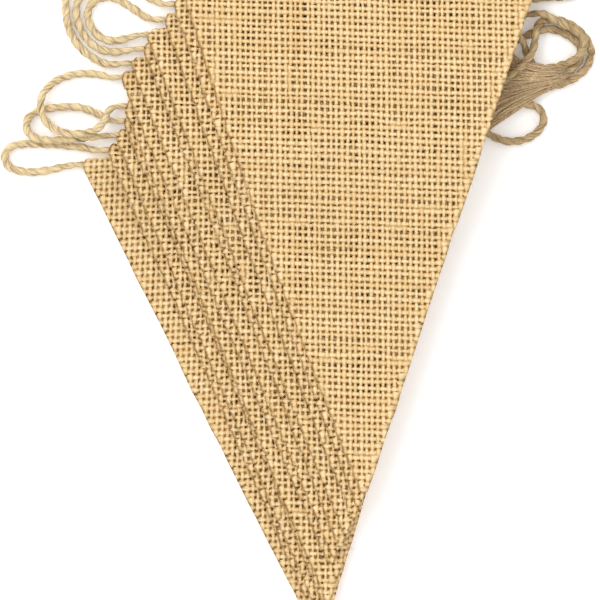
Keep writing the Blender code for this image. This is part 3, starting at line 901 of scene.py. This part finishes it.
class Nodes:
    """Short calls for building a material's nodes."""

    def __init__(self, name):
        self.material = bpy.data.materials.new(name)
        self.material.use_nodes = True
        self.tree = self.material.node_tree
        self.shader = self.tree.nodes["Principled BSDF"]

    def value(self, socket, source):
        if isinstance(source, bpy.types.NodeSocket):
            self.tree.links.new(source, socket)
        elif source is not None:
            socket.default_value = source

    def node(self, kind, **inputs):
        node = self.tree.nodes.new("ShaderNode" + kind)
        for name, source in inputs.items():
            self.value(node.inputs[name], source)
        return node

    def math(self, operation, a, b=None, clamp=False):
        node = self.node("Math")
        node.operation = operation
        node.use_clamp = clamp
        self.value(node.inputs[0], a)
        self.value(node.inputs[1], b)
        return node.outputs[0]

    def rest(self, share):
        return self.math("SUBTRACT", 1.0, share)

    def scaled(self, source, factor):
        return self.math("MULTIPLY", source, factor)

    def distance(self, a, b):
        return self.math("ABSOLUTE", self.math("SUBTRACT", a, b))

    def rising(self, source, start, slope):
        """0 up to start, and from there with this slope up to 1."""
        return self.math("MULTIPLY", self.math("SUBTRACT", source, start), slope, clamp=True)

    def falling(self, source, end, slope):
        """0 from end upward, and below it with this slope up to 1."""
        return self.math("MULTIPLY", self.math("SUBTRACT", end, source), slope, clamp=True)

    def noise(self, vector, scale, detail, rough=0.5):
        node = self.node("TexNoise", Vector=vector, Scale=scale, Detail=detail, Roughness=rough)
        return node.outputs["Fac"]

    def random(self, vector):
        node = self.node("TexWhiteNoise", Vector=vector)
        node.noise_dimensions = "3D"
        return node.outputs["Value"]

    def vector(self, x, y, z=0.0):
        return self.node("CombineXYZ", X=x, Y=y, Z=z).outputs[0]

    def mix(self, share, a, b):
        """A colour between colours a and b."""
        node = self.node("Mix")
        node.data_type = "RGBA"
        self.value(node.inputs[0], share)
        self.value(node.inputs[6], a)
        self.value(node.inputs[7], b)
        return node.outputs[2]

    def choose(self, share, a, b):
        """A value between a, where the share is 0, and b, where it is 1."""
        node = self.node("Mix")
        self.value(node.inputs[0], share)
        self.value(node.inputs[2], a)
        self.value(node.inputs[3], b)
        return node.outputs[0]

    def bump(self, height, strength, distance):
        bump = self.node("Bump", Height=height, Strength=strength, Distance=distance)
        self.value(self.shader.inputs["Normal"], bump.outputs[0])

    def surface(self, colour, rough, specular):
        self.value(self.shader.inputs["Base Color"], colour)
        self.shader.inputs["Roughness"].default_value = rough
        self.shader.inputs["Specular IOR Level"].default_value = specular

    def coordinates(self, layer):
        """The two values of one of the mesh's maps."""
        node = self.node("UVMap")
        node.uv_map = layer
        split = self.node("SeparateXYZ", Vector=node.outputs[0])
        return split.outputs[0], split.outputs[1]


PALE_STRAW = (0.92, 0.72, 0.43, 1.0)
GOLDEN = (0.79, 0.56, 0.28, 1.0)
# Darker fibres of the jute, and also the painted shade at the threads' edges and dips.
DARK_FIBRE_AND_SHADE = (0.46, 0.25, 0.055, 1.0)
# Painted shade for the weave's hollows, warm so that deep places look brown.
HOLLOW_SHADE_TINT = (0.98, 0.50, 0.10, 1.0)
# Painted shadow along the pennants' left edges.
EDGE_SHADOW_BROWN = (0.30, 0.165, 0.05, 1.0)
TWINE_PALE = (0.92, 0.76, 0.48, 1.0)
TWINE_TAN = (0.64, 0.45, 0.21, 1.0)
TWINE_BROWN = (0.42, 0.285, 0.14, 1.0)
FRAY_PALE = (0.80, 0.62, 0.38, 1.0)
TWINE_DARK = (0.24, 0.13, 0.04, 1.0)


# Burlap. Distances are in thread spacings, and noise scales are per thread.
WARP_SEEN_HALF, WEFT_SEEN_HALF = 0.36, 0.37
FIBRES_ACROSS, FIBRES_ALONG = 9.0, 0.9
TONE_SHARE, SLOW_SHARE, LEAST_TONE = 0.75, 0.55, 0.15
SLOW_SCALE, SPECK_SCALE = 0.16, 0.9
# The painted shadow along each pennant's left side, where its edge lies on the cloth below: how wide it
# reaches in, in millimetres, and how strong it is.
EDGE_SHADOW_BAND = 1.4
EDGE_SHADOW_STRENGTH, BOTTOM_EDGE_SHADOW_STRENGTH = 0.9, 0.2
# The painted shade in the weave's hollows: how far off a thread still shades them, in metres.
HOLLOW_REACH = 0.0014
HOLLOW_SAMPLES = 4
# Twine. Fibres turn round it this often, and wind along it this much in each millimetre.
STRANDS_ROUND, STRANDS_WOUND = 9.0, 0.45
STRANDS_LONG, SLOW_LONG = 0.13, 0.12
# The twine is browner to the right: by this share in each metre, from this share in the middle.
BROWNER, BROWN_MIDDLE = 6.0, 0.4
TWINE_TONE = 0.75


def top_thread(nodes, column, line, from_column, from_line):
    """Is the lengthwise thread over at this crossing, and is the thread that is seen a lengthwise one."""
    parity = nodes.math("MODULO", nodes.math("ADD", column, line), 2.0)
    over = nodes.rest(parity)
    in_column = nodes.math("LESS_THAN", from_column, WARP_SEEN_HALF)
    in_line = nodes.math("LESS_THAN", from_line, WEFT_SEEN_HALF)
    crossing = nodes.math("MULTIPLY", in_column, in_line)
    return over, nodes.choose(crossing, in_column, over)


def thread_fibres(nodes, u, v, lengthwise, seed):
    """Fine fibres along the thread that is seen."""
    warp = nodes.vector(nodes.scaled(u, FIBRES_ACROSS), nodes.scaled(v, FIBRES_ALONG), float(seed))
    weft = nodes.vector(nodes.scaled(u, FIBRES_ALONG), nodes.scaled(v, FIBRES_ACROSS), float(seed) + 5)
    warp_fibres = nodes.noise(warp, 1.0, 3.0, 0.7)
    weft_fibres = nodes.noise(weft, 1.0, 3.0, 0.7)
    return nodes.choose(lengthwise, weft_fibres, warp_fibres)


def thread_colour(nodes, u, v, column, line, lengthwise, seed):
    """Each thread's own tone with slow changes over the cloth."""
    warp_tone = nodes.random(nodes.vector(column, float(seed), 3.0))
    weft_tone = nodes.random(nodes.vector(line, float(seed), 9.0))
    tone = nodes.choose(lengthwise, weft_tone, warp_tone)
    slow = nodes.noise(nodes.vector(u, v, float(seed)), SLOW_SCALE, 3.0, 0.6)
    share = nodes.math("ADD", nodes.scaled(tone, TONE_SHARE), nodes.scaled(slow, SLOW_SHARE))
    return nodes.mix(nodes.math("SUBTRACT", share, LEAST_TONE, clamp=True), PALE_STRAW, GOLDEN)


def thread_edge_shade(nodes, lengthwise, from_column, from_line):
    """How near the edge of the seen thread this is, for painted shade where the thread rounds off."""
    from_middle = nodes.choose(lengthwise, from_line, from_column)
    from_middle = nodes.math("MULTIPLY", from_middle, 2.6, clamp=True)
    return nodes.math("MULTIPLY", nodes.math("POWER", from_middle, 3.0), 0.6, clamp=True)


def thread_dip_shade(nodes, over, lengthwise, from_column, from_line):
    """How far the seen thread dips to pass under the next one, for painted shade there."""
    warp_run = nodes.choose(over, from_line, nodes.rest(from_line))
    weft_run = nodes.choose(over, nodes.rest(from_column), from_column)
    beyond = nodes.rest(nodes.choose(lengthwise, weft_run, warp_run))
    return nodes.rising(beyond, start=0.42, slope=2.6)


def painted_edge_shadow(nodes, u, v, seed):
    """Uneven painted shadow along the left side, where the edge lies on the pennant below. The bottom
    pennant, seed 0, has it weaker.
    """
    from_left, _ = nodes.coordinates("sides")
    near = nodes.falling(from_left, end=EDGE_SHADOW_BAND, slope=1.2)
    patchy = nodes.noise(nodes.vector(u, nodes.scaled(v, 0.9), float(seed) + 4), 1.0, 2.0, 0.6)
    edge_shadow = nodes.math("MULTIPLY", near, nodes.rising(patchy, start=0.3, slope=3.5))
    return nodes.scaled(edge_shadow, EDGE_SHADOW_STRENGTH if seed else BOTTOM_EDGE_SHADOW_STRENGTH)


def painted_hollow_shade(nodes):
    """How closed in by other threads this place is, for the painted shade in the hollows."""
    hollow = nodes.node("AmbientOcclusion", Distance=HOLLOW_REACH)
    hollow.samples = HOLLOW_SAMPLES
    return nodes.falling(hollow.outputs["AO"], end=0.62, slope=2.2)


def burlap(name, seed):
    """Jute threads woven over and under, each with its own tone and with fibres along it."""
    nodes = Nodes(name)
    u, v = nodes.coordinates("threads")
    column = nodes.math("FLOOR", nodes.math("ADD", u, 0.5))
    line = nodes.math("FLOOR", nodes.math("ADD", v, 0.5))
    from_column, from_line = nodes.distance(u, column), nodes.distance(v, line)
    over, lengthwise = top_thread(nodes, column, line, from_column, from_line)
    fibres = thread_fibres(nodes, u, v, lengthwise, seed)
    specks = nodes.noise(nodes.vector(u, v, float(seed) + 2), SPECK_SCALE, 2.0, 0.5)
    colour = thread_colour(nodes, u, v, column, line, lengthwise, seed)
    # Painted shade at the threads' edges, dips and hollows, and a painted shadow along the left side; the
    # fibre streaks and specks are the jute's own.
    shades = (
        (thread_edge_shade(nodes, lengthwise, from_column, from_line), DARK_FIBRE_AND_SHADE),
        (thread_dip_shade(nodes, over, lengthwise, from_column, from_line), DARK_FIBRE_AND_SHADE),
        (nodes.falling(fibres, end=0.47, slope=3.0), DARK_FIBRE_AND_SHADE),
        (nodes.falling(specks, end=0.36, slope=3.0), DARK_FIBRE_AND_SHADE),
        (painted_edge_shadow(nodes, u, v, seed), EDGE_SHADOW_BROWN),
        (painted_hollow_shade(nodes), HOLLOW_SHADE_TINT),
    )
    for share, shade in shades:
        colour = nodes.mix(share, colour, shade)
    nodes.surface(colour, rough=0.82, specular=0.1)
    nodes.bump(fibres, strength=0.55, distance=0.0003)
    return nodes.material


def jute(name):
    """Twisted jute: pale fibres wound slantwise, darker between them."""
    nodes = Nodes(name)
    turn, length = nodes.coordinates("strand")
    slant = nodes.math("ADD", nodes.scaled(turn, STRANDS_ROUND), nodes.scaled(length, STRANDS_WOUND))
    fibres = nodes.noise(nodes.vector(slant, nodes.scaled(length, STRANDS_LONG)), 0.8, 3.0, 0.6)
    slow = nodes.noise(nodes.vector(turn, nodes.scaled(length, SLOW_LONG)), 1.0, 3.0, 0.6)
    split = nodes.node("SeparateXYZ", Vector=nodes.node("TexCoord").outputs["Object"])
    rightward = nodes.math("ADD", nodes.scaled(split.outputs[0], BROWNER), BROWN_MIDDLE, clamp=True)
    colour = nodes.mix(nodes.scaled(slow, TWINE_TONE), TWINE_PALE, TWINE_TAN)
    colour = nodes.mix(nodes.scaled(rightward, TWINE_TONE), colour, TWINE_BROWN)
    colour = nodes.mix(nodes.rising(fibres, start=0.56, slope=4.0), colour, TWINE_PALE)
    colour = nodes.mix(nodes.falling(fibres, end=0.50, slope=5.5), colour, TWINE_DARK)
    nodes.surface(colour, rough=0.78, specular=0.15)
    nodes.bump(fibres, strength=0.9, distance=0.0006)
    return nodes.material


def fibre(name, colour, other):
    """Single fibres, each in a tone between two colours."""
    nodes = Nodes(name)
    tone = nodes.rising(nodes.noise(None, 40.0, 2.0), start=0.35, slope=3.3)
    nodes.value(nodes.shader.inputs["Base Color"], nodes.mix(tone, colour, other))
    nodes.shader.inputs["Roughness"].default_value = 0.7
    return nodes.material


# ---------------------------------------------------------------- stage


# The table and the lights, with sizes in metres and angles in degrees.
FLOOR_HALF, FLOOR_LEVEL = 2.0, -0.0002
WHITE = (1.0, 1.0, 1.0, 1.0)
TABLE_WHITE = (0.98, 0.98, 0.98, 1.0)
TABLE_GLOW = 0.15
STUDIO_LIGHT = 1.05
KEY_LIGHT, KEY_WIDTH, KEY_TURN = 0.95, 35, (-24, -30)
KEY_COLOUR = (1.0, 0.985, 0.96)
NEAREST, FARTHEST = 0.1, 20.0


def add_camera():
    """A camera straight above, far enough off that the pile's height hardly shows."""
    data = bpy.data.cameras.new("camera")
    data.sensor_width = SENSOR
    data.lens = SENSOR * CAMERA_HEIGHT / VIEW_WIDTH
    data.clip_start, data.clip_end = NEAREST, FARTHEST
    camera = add_object("camera", data)
    camera.location = (VIEW_CENTRE[0] * MM, VIEW_CENTRE[1] * MM, CAMERA_HEIGHT * MM)
    bpy.context.scene.camera = camera


def add_floor():
    """A white table that glows a little, so that it stays white in the picture."""
    low, high, level = -FLOOR_HALF, FLOOR_HALF, FLOOR_LEVEL
    corners = [(low, low, level), (high, low, level), (high, high, level), (low, high, level)]
    mesh = bpy.data.meshes.new("floor")
    mesh.from_pydata(corners, [], [(0, 1, 2, 3)])
    floor = add_object("floor", mesh)
    nodes = Nodes("white_table")
    nodes.surface(TABLE_WHITE, rough=0.9, specular=0.1)
    nodes.shader.inputs["Emission Color"].default_value = WHITE
    nodes.shader.inputs["Emission Strength"].default_value = TABLE_GLOW
    mesh.materials.append(nodes.material)


def add_lights():
    """Even light from all round, and a soft key light from the upper left."""
    world = bpy.data.worlds.new("studio")
    world.use_nodes = True
    background = world.node_tree.nodes["Background"]
    background.inputs["Color"].default_value = WHITE
    background.inputs["Strength"].default_value = STUDIO_LIGHT
    bpy.context.scene.world = world
    data = bpy.data.lights.new("key", "SUN")
    data.energy = KEY_LIGHT
    data.angle = math.radians(KEY_WIDTH)
    data.color = KEY_COLOUR
    key = add_object("key", data)
    key.rotation_euler = (math.radians(KEY_TURN[0]), math.radians(KEY_TURN[1]), 0.0)


def dress_twine(rows):
    """The twine and its fibres in place of the plain tube."""
    twine, line, thick, length = twine_mesh(rows, "jute_twine")
    twine.data.materials.append(jute("jute_strands"))
    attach(twine, "root")
    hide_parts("twine")
    fibres = twine_fibres(line, thick, "twine_fibres")
    fibres.data.materials.append(fibre("twine_fibre", TWINE_PALE, PALE_STRAW))
    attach(fibres, "root")
    frayed = frayed_strands("twine_fray")
    frayed.data.materials.append(fibre("frayed_jute", TWINE_BROWN, FRAY_PALE))
    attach(frayed, "root")


def dress_pennant(rows, number):
    """A woven pennant in place of the plain one."""
    node = f"pennant_{number + 1:02d}"
    cloth = woven_mesh(rows, number, "woven_" + node)
    cloth.data.materials.append(burlap(f"burlap_weave_{number + 1:02d}", number))
    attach(cloth, "root")
    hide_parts(node)
    profile = Profile(rows, number)


def add_cloth_fibres(rows):
    """The stray fibres of the cloth, as one piece."""
    fibres = cloth_fibres(rows, "cloth_fibres")
    fibres.data.materials.append(fibre("cloth_fibre", GOLDEN, PALE_STRAW))
    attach(fibres, "root")


def main():
    bpy.context.scene.view_settings.view_transform = "Standard"
    add_camera()
    rows = pennant_table()
    dress_twine(rows)
    for number in range(len(rows)):
        dress_pennant(rows, number)
    add_cloth_fibres(rows)
    add_floor()
    add_lights()


main()
